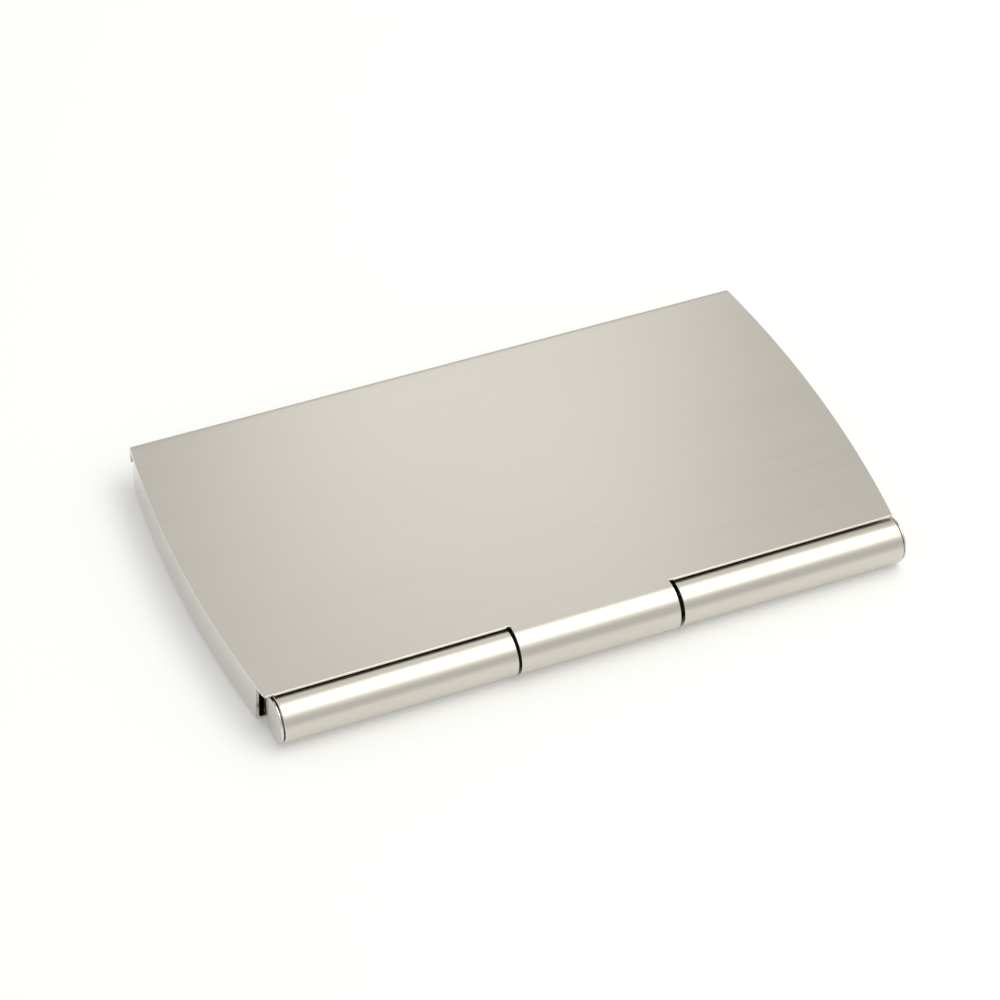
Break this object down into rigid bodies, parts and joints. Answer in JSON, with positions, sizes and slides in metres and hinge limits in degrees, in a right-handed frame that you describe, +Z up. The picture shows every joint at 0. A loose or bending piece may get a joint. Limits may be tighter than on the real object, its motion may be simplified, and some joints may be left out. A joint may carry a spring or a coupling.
{
  "type": "business card case",
  "caption": "Slim brushed metal pocket case for business cards, with bowed ends and a rolled barrel hinge along its front edge.",
  "frame": {"origin": "centre of the closed case's footprint, on the surface it rests on", "axes": "+X along the hinge barrel, +Y from the barrel towards the opening edge, +Z up through the lid"},
  "size_m": [0.1048, 0.0614, 0.0079],
  "materials": {
    "brushed_nickel": "nickel plated steel sheet, brushed along the hinge",
    "polished_nickel": "polished nickel plate",
    "inner_steel": "plain rolled sheet",
    "spring_steel": "drawn and rolled spring steel",
    "black_acetal": "moulded, satin"
  },
  "bodies": {
    "base": {"base_shell": "brushed_nickel", "card_stop_rail": "inner_steel", "hinge_pin": "spring_steel", "left_spring_sleeve": "inner_steel", "right_spring_sleeve": "inner_steel", "left_end_cap": "polished_nickel", "right_end_cap": "polished_nickel", "left_torsion_spring": "spring_steel", "right_torsion_spring": "spring_steel", "front_rivet": "polished_nickel", "back_rivet": "polished_nickel"},
    "lid": {"lid_shell": "brushed_nickel", "left_hinge_journal": "black_acetal", "right_hinge_journal": "black_acetal"},
    "card_spring": {"card_leaf_spring": "spring_steel"}
  },
  "joints": [
    {"name": "lid_hinge", "type": "hinge", "parent": "base", "child": "lid", "pos_m": [0, -0.02672, 0.00395], "axis": [1, 0, 0], "range_deg": [0, 100], "stiffness_Nm_per_rad": 0.0087, "springref_deg": -85.94, "deforming": ["left_torsion_spring", "right_torsion_spring"]},
    {"name": "card_spring_flex", "type": "hinge", "parent": "base", "child": "card_spring", "pos_m": [-0.026, 0.00328, 0.0008], "axis": [0, 1, 0], "range_deg": [0, 1.5], "stiffness_Nm_per_rad": 0.225, "springref_deg": -0.57}
  ]
}
